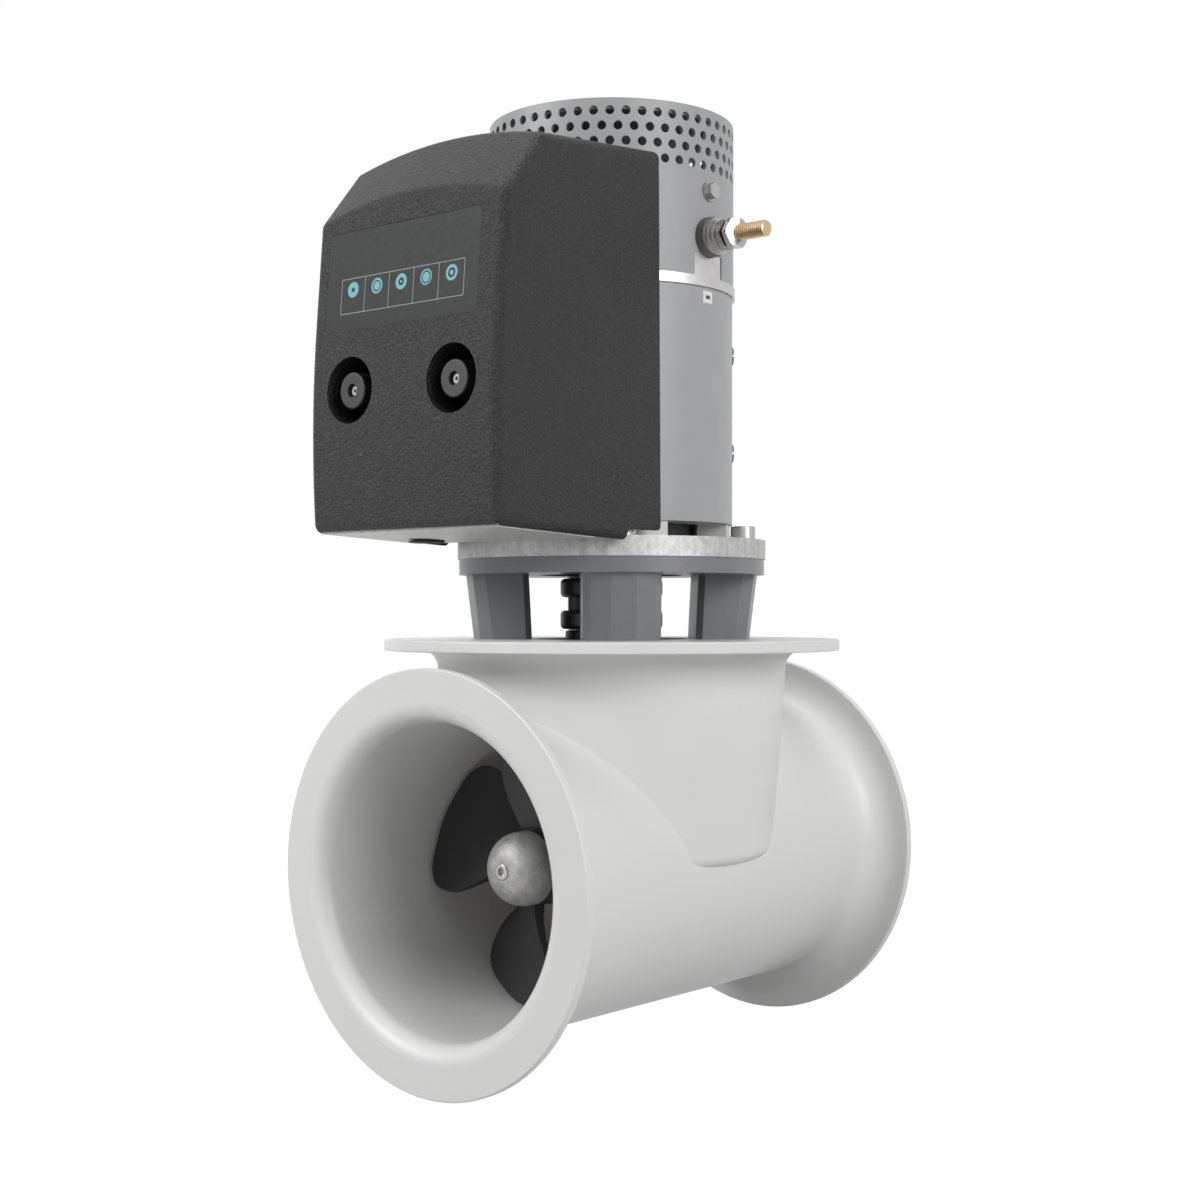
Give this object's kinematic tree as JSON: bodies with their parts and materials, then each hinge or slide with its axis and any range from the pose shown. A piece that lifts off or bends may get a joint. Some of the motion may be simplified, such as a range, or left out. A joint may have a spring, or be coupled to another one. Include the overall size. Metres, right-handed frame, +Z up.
{
  "type": "bow thruster",
  "caption": "Electric bow thruster: flanged moulded tunnel with two propellers on a gear leg, hull plate, bracket, upright motor and control cover.",
  "frame": {"origin": "centre of the hull plate's upper face, on the drive shaft's axis", "axes": "+Z up the motor, +Y along the tunnel from the control cover's side to the far mouth, +X towards the motor's terminal"},
  "size_m": [0.2915, 0.3513, 0.5898],
  "materials": {
    "white_moulding": "glossy white gel coat",
    "bronze": "bare bronze",
    "black_paint": "satin black",
    "grey_paint": "satin grey paint",
    "bracket_paint": "satin blue-grey paint",
    "zinc_plate": "mottled zinc plate",
    "stainless": "bare stainless steel",
    "dark_steel": "oiled steel",
    "cast_light": "bare cast aluminium",
    "copper": "bare copper",
    "brass": "bare brass",
    "carbon": "matt carbon",
    "black_plastic": "leather-grained black moulding",
    "propeller_plastic": "satin black composite",
    "zinc_anode": "dull cast zinc",
    "rubber": "black rubber",
    "olive_plastic": "olive moulding",
    "pale_plastic": "pale moulding"
  },
  "bodies": {
    "frame": {"tunnel": "white_moulding", "leg_gasket": "rubber", "gear_housing": "bronze", "leg_clamp": "bronze", "leg_screws": "stainless", "shaft_bearings": "dark_steel", "shaft_seal": "rubber", "neck_cap": "bronze", "propeller_bearings": "dark_steel", "propeller_seals": "rubber", "bearing_caps": "bronze", "motor_bracket": "bracket_paint", "bracket_foot_bolts": "stainless", "adaptor_plate": "zinc_plate", "adaptor_bolts": "stainless", "motor_screws": "dark_steel", "drive_end_shield": "cast_light", "bearing_neck": "black_paint", "motor_bearings": "dark_steel", "yoke": "grey_paint", "field_poles": "dark_steel", "pole_screws": "dark_steel", "brush_ring": "pale_plastic", "brushes": "carbon", "clamp_band": "zinc_plate", "vent_shell": "grey_paint", "top_shield": "grey_paint", "shell_screws": "stainless", "terminal_insulator": "olive_plastic", "terminal_stud": "brass", "terminal_washers": "stainless", "terminal_nuts": "stainless", "control_bracket": "zinc_plate", "bracket_screws": "stainless", "cable_grommet": "rubber", "cover_studs": "stainless", "contactors": "pale_plastic", "control_module": "black_plastic", "bus_bars": "copper"},
    "drive_line": {"motor_shaft": "dark_steel", "armature_core": "dark_steel", "armature_windings": "copper", "commutator": "copper", "coupling_upper": "black_paint", "coupling_middle": "rubber", "coupling_lower": "black_paint", "drive_shaft": "stainless", "pinion": "bronze"},
    "propeller_unit_front": {"gear_shaft_front": "stainless", "propeller_front": "propeller_plastic", "anode_front": "zinc_anode", "anode_screw_front": "stainless"},
    "propeller_unit_back": {"gear_shaft_back": "stainless", "propeller_back": "propeller_plastic", "anode_back": "zinc_anode", "anode_screw_back": "stainless"},
    "control_cover": {"cover": "black_plastic"},
    "left_knob": {"knob_left": "black_plastic"},
    "right_knob": {"knob_right": "black_plastic"}
  },
  "joints": [
    {"name": "drive_spin", "type": "hinge", "parent": "frame", "child": "drive_line", "pos_m": [0, 0, 0], "axis": [0, 0, 1], "continuous": true},
    {"name": "propeller_front_spin", "type": "hinge", "parent": "frame", "child": "propeller_unit_front", "pos_m": [0, 0, -0.1392], "axis": [0, 1, 0], "continuous": true},
    {"name": "propeller_back_spin", "type": "hinge", "parent": "frame", "child": "propeller_unit_back", "pos_m": [0, 0, -0.1392], "axis": [0, 1, 0], "continuous": true},
    {"name": "cover_slide", "type": "slide", "parent": "frame", "child": "control_cover", "axis": [0, -1, 0], "range_m": [0, 0.1]},
    {"name": "knob_left_turn", "type": "hinge", "parent": "control_cover", "child": "left_knob", "pos_m": [-0.042, -0.18, 0.1461], "axis": [0, -1, 0], "range_deg": [0, 90]},
    {"name": "knob_right_turn", "type": "hinge", "parent": "control_cover", "child": "right_knob", "pos_m": [0.042, -0.18, 0.1461], "axis": [0, -1, 0], "range_deg": [0, 90]}
  ],
  "couplings": [
    {"joint": "propeller_front_spin", "follows": "drive_spin", "ratio": 0.57143},
    {"joint": "propeller_back_spin", "follows": "drive_spin", "ratio": -0.57143}
  ]
}
